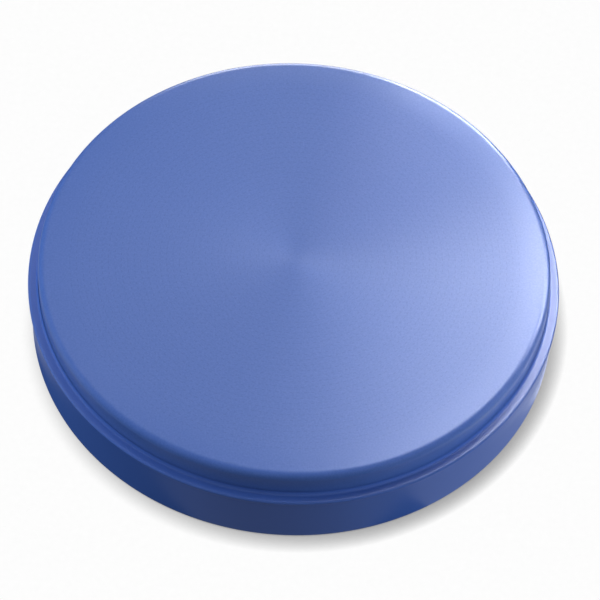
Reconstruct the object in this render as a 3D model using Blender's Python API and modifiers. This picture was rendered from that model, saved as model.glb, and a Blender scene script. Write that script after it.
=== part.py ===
"""Disc air stone for a pond: a soft perforated membrane on a weighted round base.

The hose comes in under the base, through a turning elbow and a spring-loaded check valve.
The origin is on the ground, under the middle of the disc. The hose notch faces +Y.
Heights stack up from the ground and radii step in from the lip, so a changed size moves its neighbours.
"""
import math

import bmesh
import bpy
from mathutils import Matrix, Vector

MM = 0.001
GAP = 0.3 * MM                      # clearance between pieces that touch

# Outline
LIP_RADIUS = 100.0 * MM             # widest circle: the lip of the clamp ring
DISC_SETBACK = 4.0 * MM             # membrane wall stands in from the lip
SKIRT_SETBACK = 1.0 * MM            # skirt stands in from the lip
GROUND_LINE = 0.3 * MM              # lower edge of the skirt above the ground

# Membrane
MEMBRANE_THICKNESS = 2.0 * MM
SHOULDER_RADIUS = 2.8 * MM
HEM_WIDTH = 7.7 * MM                # part of the membrane that is turned in under the plate
BEAD_WIDTH = 3.0 * MM
BEAD_DEPTH = 1.5 * MM

# Support plate
PLATE_RIM_HEIGHT = 6.7 * MM
PLATE_WEB = 3.0 * MM
NECK_WALL = 3.0 * MM
WELL_WALL = 3.0 * MM
BOSS_RADIUS = 5.0 * MM
CHANNEL_COUNT = 8
CHANNEL_WIDTH = 2.0 * MM
CHANNEL_DEPTH = 1.0 * MM

# Clamp ring
LEDGE_RISE = 4.4 * MM               # ledge above the deck
LIP_THICKNESS = 2.0 * MM
LIP_ROUNDING = 0.6 * MM

# Base shell
SHELL_WALL = 2.5 * MM
DECK_THICKNESS = 2.6 * MM
TOE_HEIGHT = 1.2 * MM               # rounding at the foot of the skirt
TOE_WIDTH = 1.2 * MM
PILLAR_INSET = 10.0 * MM            # foot pillars stand in from the inside of the skirt
PILLAR_RADIUS = 6.5 * MM

# Screws through the deck into the plate
SCREW_COUNT = 6
SCREW_INSET = 9.0 * MM              # screw circle stands in from the inside of the neck
SCREW_RADIUS = 2.0 * MM
SCREW_GRIP = 7.0 * MM
HEAD_RADIUS = 3.8 * MM
HEAD_HEIGHT = 2.4 * MM
HEX_RADIUS = 1.7 * MM
HEX_DEPTH = 1.4 * MM

# Ballast
BALLAST_HEADROOM = 2.0 * MM
BALLAST_MARGIN = 1.0 * MM           # to the screw bosses
BALLAST_CORE = 5.2 * MM             # to the plate's well
BALLAST_CHAMFER = 1.0 * MM

# Hose barb and elbow
BARB_RADIUS = 4.3 * MM              # tube that takes a hose of 9 mm bore
BARB_RIDGE = 0.8 * MM
BARB_WALL = 1.2 * MM
BARB_COUNT = 3
BARB_PITCH = 5.5 * MM
BARB_SLOPE = 3.3 * MM               # length of a ridge's slope
BARB_STEP = 0.3 * MM                # length of its steep side
BARB_TIP = 2.0 * MM
ELBOW_ARM = 17.0 * MM               # plain arm from the swivel axis to the barb
ELBOW_SKIN = 1.0 * MM               # arm is thicker than the barb tube
ELBOW_GROUND = 1.5 * MM             # elbow above the ground
ELBOW_HEEL = 0.2 * MM               # stem reaches lower than the arm
BORE_RUN_OUT = 0.2 * MM             # upright bore runs past the lying one
ELBOW_CHAMFER = 1.0 * MM
STEM_WALL = 3.4 * MM
STEM_LENGTH = 7.1 * MM              # stem above its collar
COLLAR_WIDTH = 2.6 * MM
COLLAR_THICKNESS = 1.2 * MM
HOSE_WALL = 2.2 * MM                # of the hose, which stretches over the barb
HOSE_ROOM = 2.5 * MM                # room round the hose in the notch

# O-rings
RING_SECTION = 0.5 * MM             # radius of the section
RING_GROOVE = 1.6 * MM              # width of a groove
RING_STANDOUT = 0.1 * MM            # stem ring stands out of its groove
STEM_RING_SPACING = 3.2 * MM

# Swivel nut
NUT_WALL = 3.3 * MM                 # from its bore to its flats
NUT_HEIGHT = 4.8 * MM
NUT_LIP = 1.3 * MM
NUT_CLEARANCE = 0.5 * MM

# Check valve
SPIGOT_WALL = 2.5 * MM
WASHER_THICKNESS = 1.0 * MM
FLANGE_WIDTH = 2.5 * MM             # flange reaches past the barrel
FLANGE_THICKNESS = 1.5 * MM
SEAT_RADIUS = 5.0 * MM
SEAT_THICKNESS = 2.2 * MM
BARREL_ROOM = 2.5 * MM              # round the poppet
BARREL_WALL = 3.5 * MM
VALVE_LIFT = 1.2 * MM
SEAL_THICKNESS = 1.0 * MM
SEAL_OVERLAP = 2.5 * MM             # seal reaches past the edge of the seat's hole
POPPET_THICKNESS = 1.2 * MM
POPPET_PLUG_RADIUS = 3.5 * MM
POPPET_FLOOR = 1.1 * MM             # under the blind guide tube
GUIDE_RADIUS = 1.2 * MM
GUIDE_WALL = 1.1 * MM
CAGE_THICKNESS = 1.0 * MM
CROWN_RADIUS = 6.4 * MM
CROWN_WALL = 1.2 * MM
WINDOW_COUNT = 4
WINDOW_WIDTH = 3.0 * MM
OUTLET_RADIUS = 8.0 * MM
SPRING_WIRE = 0.25 * MM             # radius of the wire
SPRING_TURNS = 3

# Feet
FOOT_COUNT = 4
FOOT_RADIUS = 6.0 * MM
FOOT_PAD = 2.1 * MM
FOOT_CHAMFER = 0.5 * MM
PLUG_RADIUS = 3.0 * MM
PLUG_LENGTH = 6.0 * MM

# Facets
FINE_STEPS = 48
SMALL_STEPS = 24
SCREW_STEPS = 12
MERGE = 0.00001
REACH = 2.0 * MM                    # how far a cutter runs past what it cuts

# Radii worked out from the lip inwards
wall_outer = LIP_RADIUS - DISC_SETBACK
wall_inner = wall_outer - MEMBRANE_THICKNESS
plate_radius = wall_inner - GAP
hem_inner = wall_outer - HEM_WIDTH
bead_outer = hem_inner + BEAD_WIDTH
neck_outer = hem_inner - GAP
neck_inner = neck_outer - NECK_WALL
screw_circle = neck_inner - SCREW_INSET
skirt_outer = LIP_RADIUS - SKIRT_SETBACK
skirt_inner = skirt_outer - SHELL_WALL
pillar_circle = skirt_inner - PILLAR_INSET

# Radii worked out from the air way outwards
air_bore = BARB_RADIUS - BARB_WALL
elbow_radius = BARB_RADIUS + ELBOW_SKIN
stem_radius = air_bore + STEM_WALL
socket_radius = stem_radius + GAP
collar_radius = stem_radius + COLLAR_WIDTH
spigot_radius = socket_radius + SPIGOT_WALL
hub_radius = spigot_radius + GAP
nut_corner = (hub_radius + NUT_WALL) / math.cos(math.pi / 6)
hose_radius = BARB_RADIUS + HOSE_WALL
barb_tip = ELBOW_ARM + BARB_COUNT * BARB_PITCH + BARB_TIP
disc_radius = SEAT_RADIUS + SEAL_OVERLAP
barrel_bore = disc_radius + BARREL_ROOM
barrel_radius = barrel_bore + BARREL_WALL
flange_radius = barrel_radius + FLANGE_WIDTH
well_inner = barrel_radius + GAP
well_outer = well_inner + WELL_WALL
ballast_inner = well_outer + BALLAST_CORE
ballast_outer = screw_circle - BOSS_RADIUS - BALLAST_MARGIN

# Heights stacked up from the ground
barb_z = ELBOW_GROUND + ELBOW_HEEL + elbow_radius
nut_bottom = barb_z + elbow_radius + NUT_CLEARANCE
nut_top = nut_bottom + NUT_HEIGHT
collar_bottom = nut_bottom + NUT_LIP + GAP
collar_top = collar_bottom + COLLAR_THICKNESS
spigot_bottom = collar_top + GAP
stem_top = collar_top + STEM_LENGTH
stem_middle = (spigot_bottom + stem_top) / 2
stem_ring_heights = [stem_middle - STEM_RING_SPACING / 2, stem_middle + STEM_RING_SPACING / 2]
deck_bottom = nut_top + GAP
deck_top = deck_bottom + DECK_THICKNESS
above_deck = deck_top + GAP
flange_bottom = above_deck + WASHER_THICKNESS + GAP
flange_top = flange_bottom + FLANGE_THICKNESS
seat_bottom = stem_top + GAP
seat_top = seat_bottom + SEAT_THICKNESS
ledge_z = deck_top + LEDGE_RISE
ring_bottom = ledge_z - LIP_THICKNESS
shell_top = ring_bottom - GAP
hem_bottom = ledge_z + GAP
hem_top = hem_bottom + MEMBRANE_THICKNESS
rim_bottom = hem_top + GAP
plate_top = rim_bottom + PLATE_RIM_HEIGHT
web_bottom = plate_top - PLATE_WEB
membrane_bottom = plate_top + GAP
total_height = membrane_bottom + MEMBRANE_THICKNESS
barrel_top = web_bottom - GAP
outlet_ring_z = (flange_top + barrel_top) / 2
crown_top = plate_top - GAP
crown_ceiling = crown_top - CAGE_THICKNESS
cage_top = barrel_top - GAP
cage_bottom = cage_top - CAGE_THICKNESS
plug_bottom = seat_top - GAP
guide_floor = plug_bottom + POPPET_FLOOR
seal_bottom = seat_top + GAP
poppet_bottom = seal_bottom + SEAL_THICKNESS + GAP
poppet_top = poppet_bottom + POPPET_THICKNESS


def fresh_collection(name):
    collection = bpy.data.collections.new(name)
    bpy.context.scene.collection.children.link(collection)
    return collection


def material(name, colour, roughness, metallic=0.0):
    made = bpy.data.materials.new(name)
    made.use_nodes = True
    shader = made.node_tree.nodes["Principled BSDF"]
    shader.inputs["Base Color"].default_value = (*colour, 1.0)
    shader.inputs["Roughness"].default_value = roughness
    shader.inputs["Metallic"].default_value = metallic
    return made


def arc(centre, radii, start, end, count=4):
    """Points on a round or oval arc in the (radius, height) plane, angles in degrees."""
    points = []
    for step in range(count + 1):
        angle = math.radians(start + (end - start) * step / count)
        points.append((centre[0] + radii[0] * math.cos(angle), centre[1] + radii[1] * math.sin(angle)))
    return points


def link(obj, made_of=None):
    """Put a piece in the air stone's collection, or a cutter in the cutters' one."""
    if made_of is None:
        cutters.objects.link(obj)
        obj.hide_render = True
        obj.display_type = "WIRE"
    else:
        pieces.objects.link(obj)
        obj.data.materials.append(made_of)
    return obj


def turned(name, profile, made_of=None, steps=FINE_STEPS):
    """Turn a profile about Z. It runs down its outer side, and closes unless it ends on the axis."""
    shape = bmesh.new()
    corners = [shape.verts.new((radius, 0.0, height)) for radius, height in profile]
    for first, second in zip(corners, corners[1:]):
        shape.edges.new((first, second))
    if profile[0][0] > 0.0:
        shape.edges.new((corners[-1], corners[0]))
    mesh = bpy.data.meshes.new(name)
    shape.to_mesh(mesh)
    shape.free()
    obj = link(bpy.data.objects.new(name, mesh), made_of)
    screw = obj.modifiers.new("Turn", "SCREW")
    screw.axis = "Z"
    screw.angle = math.tau
    screw.steps = steps
    screw.render_steps = steps
    screw.use_merge_vertices = True
    screw.merge_threshold = MERGE
    screw.use_smooth_shade = True
    return obj


def around(count, circle, phase=0.0):
    """Places evenly round a circle, as (angle, x, y)."""
    places = []
    for index in range(count):
        angle = phase + math.tau * index / count
        places.append((angle, circle * math.cos(angle), circle * math.sin(angle)))
    return places


def round_cutters(name, places, radius, bottom, top, steps=SMALL_STEPS):
    """One mesh of upright cylinders at the given places."""
    shape = bmesh.new()
    for _, x, y in places:
        middle = Matrix.Translation((x, y, (bottom + top) / 2))
        bmesh.ops.create_cone(shape, cap_ends=True, segments=steps, radius1=radius, radius2=radius,
                              depth=top - bottom, matrix=middle)
    mesh = bpy.data.meshes.new(name)
    shape.to_mesh(mesh)
    shape.free()
    return link(bpy.data.objects.new(name, mesh))


def box_cutters(name, places, low, high):
    """One mesh of boxes, each given from low to high in a frame turned to face its place."""
    size = Vector(high) - Vector(low)
    middle = (Vector(high) + Vector(low)) / 2
    shape = bmesh.new()
    for angle, _, _ in places:
        seat = Matrix.Rotation(angle, 4, "Z") @ Matrix.Translation(middle) @ Matrix.Diagonal((*size, 1.0))
        bmesh.ops.create_cube(shape, size=1.0, matrix=seat)
    mesh = bpy.data.meshes.new(name)
    shape.to_mesh(mesh)
    shape.free()
    return link(bpy.data.objects.new(name, mesh))


def combine(obj, other, operation):
    boolean = obj.modifiers.new(other.name, "BOOLEAN")
    boolean.object = other
    boolean.operation = operation
    boolean.solver = "EXACT"


def plain_mesh(obj):
    """The finished mesh of an object, which is then removed."""
    bpy.context.view_layer.update()
    evaluated = obj.evaluated_get(bpy.context.evaluated_depsgraph_get())
    mesh = bpy.data.meshes.new_from_object(evaluated)
    bpy.data.objects.remove(obj)
    return mesh


def copies(name, mesh, places, height):
    for index, (_, x, y) in enumerate(places):
        obj = bpy.data.objects.new(f"{name}_{index + 1}", mesh)
        obj.location = (x, y, height)
        pieces.objects.link(obj)


def o_ring(name, outer, height):
    """An O-ring as it lies in its groove, given by its outer radius."""
    bpy.ops.mesh.primitive_torus_add(major_radius=outer - RING_SECTION, minor_radius=RING_SECTION,
                                     major_segments=SMALL_STEPS, minor_segments=6, location=(0, 0, height))
    obj = bpy.context.active_object
    obj.name = name
    obj.data.name = name
    obj.data.shade_smooth()
    for collection in list(obj.users_collection):
        collection.objects.unlink(obj)
    return link(obj, seal_rubber)


def make_membrane():
    shoulder = (wall_outer - SHOULDER_RADIUS, total_height - SHOULDER_RADIUS)
    inner_radius = SHOULDER_RADIUS - MEMBRANE_THICKNESS
    profile = [(0.0, total_height)]
    profile += arc(shoulder, (SHOULDER_RADIUS, SHOULDER_RADIUS), 90, 0)
    profile += [(wall_outer, hem_bottom), (bead_outer, hem_bottom), (bead_outer, hem_bottom - BEAD_DEPTH),
                (hem_inner, hem_bottom - BEAD_DEPTH), (hem_inner, hem_top), (wall_inner, hem_top)]
    profile += arc(shoulder, (inner_radius, inner_radius), 0, 90, 2)
    profile += [(0.0, membrane_bottom)]
    turned("membrane", profile, silicone)


def make_support_plate():
    corner = SHOULDER_RADIUS - MEMBRANE_THICKNESS - GAP
    profile = [(OUTLET_RADIUS, plate_top)]
    profile += arc((plate_radius - corner, plate_top - corner), (corner, corner), 90, 0, 2)
    profile += [(plate_radius, rim_bottom), (neck_outer, rim_bottom), (neck_outer, above_deck),
                (neck_inner, above_deck), (neck_inner, web_bottom), (well_outer, web_bottom),
                (well_outer, flange_top + GAP), (well_inner, flange_top + GAP), (well_inner, web_bottom),
                (OUTLET_RADIUS, web_bottom)]
    plate = turned("support_plate", profile, hard_plastic)
    bosses = round_cutters("plate_bosses", screw_places, BOSS_RADIUS, above_deck, web_bottom + PLATE_WEB / 2)
    combine(plate, bosses, "UNION")
    holes = round_cutters("boss_holes", screw_places, SCREW_RADIUS + GAP, above_deck - REACH,
                          above_deck + SCREW_GRIP + GAP, steps=SCREW_STEPS)
    combine(plate, holes, "DIFFERENCE")
    channels = box_cutters("air_channels", around(CHANNEL_COUNT, plate_radius),
                           (OUTLET_RADIUS + 2 * CHANNEL_WIDTH, -CHANNEL_WIDTH / 2, plate_top - CHANNEL_DEPTH),
                           (neck_inner, CHANNEL_WIDTH / 2, plate_top + REACH))
    combine(plate, channels, "DIFFERENCE")


def make_clamp_ring():
    leg_outer = skirt_inner - GAP
    ring_inner = bead_outer + GAP
    upper = (LIP_RADIUS - LIP_ROUNDING, ledge_z - LIP_ROUNDING)
    lower = (LIP_RADIUS - LIP_ROUNDING, ring_bottom + LIP_ROUNDING)
    profile = [(ring_inner, ledge_z)]
    profile += arc(upper, (LIP_ROUNDING, LIP_ROUNDING), 90, 0, 2)
    profile += arc(lower, (LIP_ROUNDING, LIP_ROUNDING), 0, -90, 2)
    profile += [(leg_outer, ring_bottom), (leg_outer, above_deck), (ring_inner, above_deck)]
    turned("clamp_ring", profile, blue_plastic)


def make_base_shell():
    toe = (skirt_outer - TOE_WIDTH, GROUND_LINE + TOE_HEIGHT)
    profile = [(skirt_outer, shell_top)]
    profile += arc(toe, (TOE_WIDTH, TOE_HEIGHT), 0, -90)
    profile += [(skirt_inner, GROUND_LINE), (skirt_inner, deck_bottom), (hub_radius, deck_bottom),
                (hub_radius, deck_top), (skirt_inner, deck_top), (skirt_inner, shell_top)]
    shell = turned("base_shell", profile, blue_plastic)
    pillars = round_cutters("foot_pillars", foot_places, PILLAR_RADIUS, FOOT_PAD + GAP,
                            deck_bottom + DECK_THICKNESS / 2)
    combine(shell, pillars, "UNION")
    sockets = round_cutters("foot_sockets", foot_places, PLUG_RADIUS + GAP, FOOT_PAD - REACH,
                            FOOT_PAD + PLUG_LENGTH + GAP, steps=SCREW_STEPS)
    combine(shell, sockets, "DIFFERENCE")
    holes = round_cutters("deck_holes", screw_places, SCREW_RADIUS + GAP, deck_bottom - REACH,
                          deck_top + REACH, steps=SCREW_STEPS)
    combine(shell, holes, "DIFFERENCE")
    combine(shell, make_hose_notch(), "DIFFERENCE")


def make_hose_notch():
    """Round-topped notch through the skirt, behind the barb."""
    half_width = hose_radius + HOSE_ROOM
    top = barb_z + half_width
    low = Vector((-half_width, skirt_inner - PILLAR_INSET, -REACH))
    high = Vector((half_width, LIP_RADIUS + REACH, top))
    shape = bmesh.new()
    seat = Matrix.Translation((low + high) / 2) @ Matrix.Diagonal((*(high - low), 1.0))
    bmesh.ops.create_cube(shape, size=1.0, matrix=seat)
    upper = [edge for edge in shape.edges
             if all(corner.co.z > barb_z for corner in edge.verts)
             and edge.verts[0].co.x * edge.verts[1].co.x > 0]
    bmesh.ops.bevel(shape, geom=upper, offset=hose_radius, segments=4, profile=0.5, affect="EDGES")
    mesh = bpy.data.meshes.new("hose_notch")
    shape.to_mesh(mesh)
    shape.free()
    return link(bpy.data.objects.new("hose_notch", mesh))


def make_ballast_ring():
    top = web_bottom - BALLAST_HEADROOM
    edge = BALLAST_CHAMFER
    profile = [(ballast_inner + edge, top), (ballast_outer - edge, top), (ballast_outer, top - edge),
               (ballast_outer, above_deck + edge), (ballast_outer - edge, above_deck),
               (ballast_inner + edge, above_deck), (ballast_inner, above_deck + edge),
               (ballast_inner, top - edge)]
    turned("ballast_ring", profile, cast_iron)


def make_screws():
    """Socket head screws, put in from below: the head lies under the deck."""
    shank_top = DECK_THICKNESS + GAP + SCREW_GRIP
    profile = [(0.0, shank_top), (SCREW_RADIUS, shank_top), (SCREW_RADIUS, -GAP), (HEAD_RADIUS, -GAP),
               (HEAD_RADIUS, -GAP - HEAD_HEIGHT), (0.0, -GAP - HEAD_HEIGHT)]
    screw = turned("screw_blank", profile, stainless, steps=SCREW_STEPS)
    recess = round_cutters("hex_recess", [(0.0, 0.0, 0.0)], HEX_RADIUS, -GAP - HEAD_HEIGHT - REACH,
                           -GAP - HEAD_HEIGHT + HEX_DEPTH, steps=6)
    combine(screw, recess, "DIFFERENCE")
    copies("plate_screw", plain_mesh(screw), screw_places, deck_bottom)


def make_valve_body():
    groove_floor = barrel_radius - 2 * RING_SECTION - GAP
    groove_bottom = outlet_ring_z - RING_GROOVE / 2
    groove_top = outlet_ring_z + RING_GROOVE / 2
    profile = [(barrel_bore, barrel_top), (barrel_radius, barrel_top), (barrel_radius, groove_top),
               (groove_floor, groove_top), (groove_floor, groove_bottom), (barrel_radius, groove_bottom),
               (barrel_radius, flange_top), (flange_radius, flange_top), (flange_radius, flange_bottom),
               (spigot_radius, flange_bottom), (spigot_radius, spigot_bottom),
               (socket_radius, spigot_bottom), (socket_radius, seat_bottom), (SEAT_RADIUS, seat_bottom),
               (SEAT_RADIUS, seat_top), (barrel_bore, seat_top)]
    turned("valve_body", profile, hard_plastic, steps=SMALL_STEPS)
    washer = [(hub_radius, above_deck + WASHER_THICKNESS), (flange_radius, above_deck + WASHER_THICKNESS),
              (flange_radius, above_deck), (hub_radius, above_deck)]
    turned("valve_washer", washer, seal_rubber, steps=SMALL_STEPS)
    o_ring("outlet_o_ring", barrel_radius, outlet_ring_z)


def make_poppet():
    """Valve disc with a blind guide tube, and the rubber ring on its plug."""
    tube_inner = GUIDE_RADIUS + GAP
    tube_outer = tube_inner + GUIDE_WALL
    tube_top = crown_ceiling - VALVE_LIFT - GAP
    profile = [(0.0, guide_floor), (tube_inner, guide_floor), (tube_inner, tube_top), (tube_outer, tube_top),
               (tube_outer, poppet_top), (disc_radius, poppet_top), (disc_radius, poppet_bottom),
               (POPPET_PLUG_RADIUS, poppet_bottom), (POPPET_PLUG_RADIUS, plug_bottom), (0.0, plug_bottom)]
    turned("valve_poppet", profile, hard_plastic, steps=SMALL_STEPS)
    seal_inner = POPPET_PLUG_RADIUS + GAP
    seal = [(seal_inner, seal_bottom + SEAL_THICKNESS), (disc_radius, seal_bottom + SEAL_THICKNESS),
            (disc_radius, seal_bottom), (seal_inner, seal_bottom)]
    turned("poppet_seal", seal, seal_rubber, steps=SMALL_STEPS)


def make_cage():
    """Flanged crown over the spring, with a guide pin down its middle and windows for the air."""
    flange = barrel_bore - GAP
    crown_inner = CROWN_RADIUS - CROWN_WALL
    pin_bottom = guide_floor + VALVE_LIFT + GAP
    profile = [(0.0, crown_top), (CROWN_RADIUS, crown_top), (CROWN_RADIUS, cage_top), (flange, cage_top),
               (flange, cage_bottom), (crown_inner, cage_bottom), (crown_inner, crown_ceiling),
               (GUIDE_RADIUS, crown_ceiling), (GUIDE_RADIUS, pin_bottom), (0.0, pin_bottom)]
    cage = turned("valve_cage", profile, hard_plastic, steps=SMALL_STEPS)
    windows = box_cutters("cage_windows", around(WINDOW_COUNT, CROWN_RADIUS, math.pi / WINDOW_COUNT),
                          (crown_inner - CROWN_WALL, -WINDOW_WIDTH / 2, cage_top + GAP),
                          (CROWN_RADIUS + REACH, WINDOW_WIDTH / 2, crown_ceiling - GAP))
    combine(cage, windows, "DIFFERENCE")


def make_spring():
    """Coil between the poppet's disc and the crown's ceiling."""
    points_per_turn = 12
    coil_radius = GUIDE_RADIUS + GAP + GUIDE_WALL + GAP + 2 * SPRING_WIRE + GAP
    low = poppet_top + GAP + SPRING_WIRE
    high = crown_ceiling - GAP - SPRING_WIRE
    count = SPRING_TURNS * points_per_turn + 1
    curve = bpy.data.curves.new("valve_spring", "CURVE")
    curve.dimensions = "3D"
    curve.bevel_depth = SPRING_WIRE
    curve.bevel_resolution = 2
    curve.use_fill_caps = True
    spline = curve.splines.new("POLY")
    spline.points.add(count - 1)
    for index, point in enumerate(spline.points):
        angle = math.tau * index / points_per_turn
        height = low + (high - low) * index / (count - 1)
        point.co = (coil_radius * math.cos(angle), coil_radius * math.sin(angle), height, 1.0)
    link(bpy.data.objects.new("valve_spring", curve), stainless)


def make_swivel_nut():
    """Hexagon nut on the spigot. Its inner lip carries the elbow's collar."""
    mesh = bpy.data.meshes.new("swivel_nut")
    shape = bmesh.new()
    bmesh.ops.create_cone(shape, cap_ends=True, segments=6, radius1=nut_corner, radius2=nut_corner,
                          depth=NUT_HEIGHT, matrix=Matrix.Translation((0, 0, (nut_bottom + nut_top) / 2)))
    shape.to_mesh(mesh)
    shape.free()
    nut = link(bpy.data.objects.new("swivel_nut", mesh), hard_plastic)
    lip_top = nut_bottom + NUT_LIP
    profile = [(0.0, nut_top + REACH), (hub_radius, nut_top + REACH), (hub_radius, lip_top),
               (socket_radius, lip_top), (socket_radius, nut_bottom - REACH), (0.0, nut_bottom - REACH)]
    combine(nut, turned("nut_bore", profile, steps=SMALL_STEPS), "DIFFERENCE")


def barb_profile():
    """Outline of the barb and arm, from the tip back to the swivel axis."""
    profile = [(0.0, barb_tip), (BARB_RADIUS, barb_tip)]
    for ridge in range(BARB_COUNT):
        start = barb_tip - BARB_TIP - ridge * BARB_PITCH
        crest = start - BARB_SLOPE
        profile += [(BARB_RADIUS, start), (BARB_RADIUS + BARB_RIDGE, crest), (BARB_RADIUS, crest - BARB_STEP)]
    profile += [(BARB_RADIUS, ELBOW_ARM), (elbow_radius, ELBOW_ARM), (elbow_radius, 0.0), (0.0, 0.0)]
    return profile


def make_elbow():
    """Stem with two seal grooves and a collar, an arm to the back, and the hose barb."""
    ring_radius = stem_radius + RING_STANDOUT
    groove_floor = ring_radius - 2 * RING_SECTION - GAP
    profile = [(0.0, stem_top), (stem_radius, stem_top)]
    for height in reversed(stem_ring_heights):
        profile += [(stem_radius, height + RING_GROOVE / 2), (groove_floor, height + RING_GROOVE / 2),
                    (groove_floor, height - RING_GROOVE / 2), (stem_radius, height - RING_GROOVE / 2)]
    profile += [(stem_radius, collar_top), (collar_radius, collar_top), (collar_radius, collar_bottom),
                (stem_radius, collar_bottom), (stem_radius, ELBOW_GROUND + ELBOW_CHAMFER),
                (stem_radius - ELBOW_CHAMFER, ELBOW_GROUND), (0.0, ELBOW_GROUND)]
    elbow = turned("inlet_elbow", profile, hard_plastic, steps=SMALL_STEPS)

    arm = turned("elbow_arm", barb_profile(), steps=SMALL_STEPS)
    air_in = turned("barb_bore", [(0.0, barb_tip + REACH), (air_bore, barb_tip + REACH),
                                  (air_bore, 0.0), (0.0, 0.0)], steps=SMALL_STEPS)
    for lying in (arm, air_in):
        lying.rotation_euler = (-math.pi / 2, 0.0, 0.0)
        lying.location = (0.0, 0.0, barb_z)
    air_up = round_cutters("stem_bore", [(0.0, 0.0, 0.0)], air_bore + BARB_STEP,
                           barb_z - air_bore - BORE_RUN_OUT, stem_top + REACH)
    combine(elbow, arm, "UNION")
    combine(elbow, air_up, "DIFFERENCE")
    combine(elbow, air_in, "DIFFERENCE")
    for index, height in enumerate(stem_ring_heights):
        o_ring(f"elbow_o_ring_{index + 1}", ring_radius, height)


def make_feet():
    profile = [(0.0, FOOT_PAD + PLUG_LENGTH), (PLUG_RADIUS, FOOT_PAD + PLUG_LENGTH), (PLUG_RADIUS, FOOT_PAD),
               (FOOT_RADIUS, FOOT_PAD), (FOOT_RADIUS, FOOT_CHAMFER), (FOOT_RADIUS - FOOT_CHAMFER, 0.0),
               (0.0, 0.0)]
    blank = turned("foot_blank", profile, seal_rubber, steps=SMALL_STEPS)
    copies("foot", plain_mesh(blank), foot_places, 0.0)


for old in list(bpy.data.objects):
    bpy.data.objects.remove(old)

pieces = fresh_collection("air_stone")
cutters = fresh_collection("cutters")

silicone = material("blue_silicone", (0.10, 0.17, 0.52), 0.55)
blue_plastic = material("blue_abs", (0.07, 0.12, 0.45), 0.40)
hard_plastic = material("grey_pp", (0.08, 0.09, 0.11), 0.50)
seal_rubber = material("black_rubber", (0.02, 0.02, 0.02), 0.80)
cast_iron = material("coated_iron", (0.10, 0.10, 0.11), 0.60, 0.3)
stainless = material("stainless_steel", (0.60, 0.60, 0.62), 0.30, 1.0)

screw_places = around(SCREW_COUNT, screw_circle)
foot_places = around(FOOT_COUNT, pillar_circle, math.pi / FOOT_COUNT)

make_membrane()
make_support_plate()
make_clamp_ring()
make_base_shell()
make_ballast_ring()
make_screws()
make_valve_body()
make_poppet()
make_cage()
make_spring()
make_swivel_nut()
make_elbow()
make_feet()
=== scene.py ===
# Disc air stone for a pond: the looks, the light and the camera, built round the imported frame.
import math

import bmesh
import bpy
from mathutils import Matrix, Vector


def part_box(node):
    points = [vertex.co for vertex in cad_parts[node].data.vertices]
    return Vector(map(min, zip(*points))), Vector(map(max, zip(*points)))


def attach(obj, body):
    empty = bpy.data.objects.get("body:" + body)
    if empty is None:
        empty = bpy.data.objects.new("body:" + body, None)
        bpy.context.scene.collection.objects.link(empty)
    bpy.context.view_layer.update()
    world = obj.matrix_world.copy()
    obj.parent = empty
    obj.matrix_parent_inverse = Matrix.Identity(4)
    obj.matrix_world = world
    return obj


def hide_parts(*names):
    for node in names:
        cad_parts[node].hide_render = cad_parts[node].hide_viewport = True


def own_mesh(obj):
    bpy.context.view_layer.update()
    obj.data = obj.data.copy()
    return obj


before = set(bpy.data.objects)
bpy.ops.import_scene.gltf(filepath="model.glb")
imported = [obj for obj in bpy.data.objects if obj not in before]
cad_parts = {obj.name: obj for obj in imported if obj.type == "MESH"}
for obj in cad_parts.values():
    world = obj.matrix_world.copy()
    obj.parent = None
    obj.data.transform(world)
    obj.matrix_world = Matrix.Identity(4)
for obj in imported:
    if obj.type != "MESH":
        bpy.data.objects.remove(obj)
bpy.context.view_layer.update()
mm = 0.001
gap = 0.3 * mm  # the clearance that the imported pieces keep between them
print("frame loaded:", len(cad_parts), "nodes")


# ---- small helpers

def linear(hexColour, alpha=1.0):
    channels = [int(hexColour[start:start + 2], 16) / 255 for start in (1, 3, 5)]
    return (*[c / 12.92 if c <= 0.04045 else ((c + 0.055) / 1.055) ** 2.4 for c in channels], alpha)


def addNode(tree, kind, inputs=None, **settings):
    # a node with its settings; an input given as a socket is linked, any other is a value
    node = tree.nodes.new(kind)
    for name, value in settings.items():
        setattr(node, name, value)
    for key, value in (inputs or {}).items():
        if isinstance(value, bpy.types.NodeSocket):
            tree.links.new(value, node.inputs[key])
        else:
            node.inputs[key].default_value = value
    return node


def newMaterial(name, finish):
    # finish holds what is the same all over the surface, set on the shader's own sockets
    material = bpy.data.materials.new(name)
    material.use_nodes = True
    shader = material.node_tree.nodes["Principled BSDF"]
    for key, value in finish.items():
        shader.inputs[key].default_value = value
    return material, material.node_tree, shader


def softProfile(corners, closed, steps=6, hold=0.4 * mm):
    # corners are (radius, height, rounding); straight runs get a holding point near each end
    count = len(corners)
    runs = []
    for index, (x, y, rounding) in enumerate(corners):
        here = Vector((x, y))
        if rounding == 0.0 or (not closed and index in (0, count - 1)):
            runs.append([here])
            continue
        before = (Vector(corners[index - 1][:2]) - here).normalized()
        after = (Vector(corners[(index + 1) % count][:2]) - here).normalized()
        half = before.angle(after) / 2
        centre = here + (before + after).normalized() * rounding / math.sin(half)
        start = here + before * rounding / math.tan(half) - centre
        sweep = before.angle_signed(-after)
        arc = []
        for step in range(steps + 1):
            turn = Matrix.Rotation(-sweep * step / steps, 2)
            arc.append(centre + turn @ start)
        runs.append(arc)
    points = []
    for index, run in enumerate(runs):
        points += run
        if index == count - 1 and not closed:
            break
        here, there = run[-1], runs[(index + 1) % count][0]
        along = there - here
        if along.length > 4 * hold:
            points += [here + along.normalized() * hold, there - along.normalized() * hold]
    return points


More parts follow.
